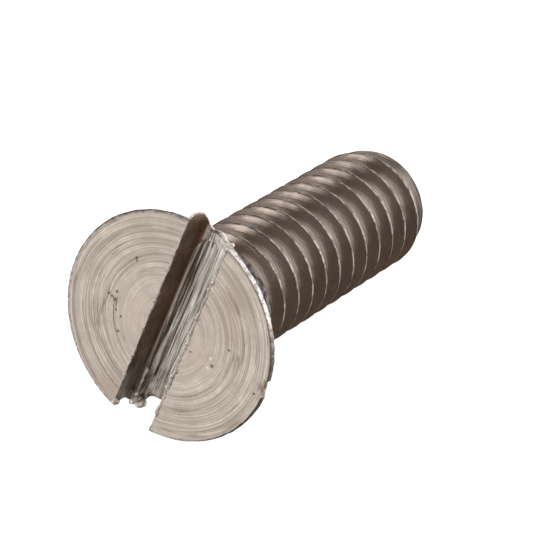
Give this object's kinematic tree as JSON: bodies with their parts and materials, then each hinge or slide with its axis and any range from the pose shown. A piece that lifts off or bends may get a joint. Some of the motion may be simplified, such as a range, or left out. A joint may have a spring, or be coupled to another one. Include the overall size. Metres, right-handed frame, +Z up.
{
  "type": "countersunk machine screw",
  "caption": "Slotted countersunk machine screw with a flat head and a metric thread up to the head, lying on its side.",
  "frame": {"origin": "on the ground under the middle of the lying screw", "axes": "+X along the screw from head to tip, over the ground; +Z up; the screw's own axis leans 8 degrees down towards the tip, because the head is wider than the thread"},
  "size_m": [0.0062, 0.0034, 0.0035],
  "materials": {
    "screw": "bare turned stainless steel, fine turning rings on the face, rolled thread"
  },
  "bodies": {
    "root": {"screw": "screw"}
  },
  "joints": []
}
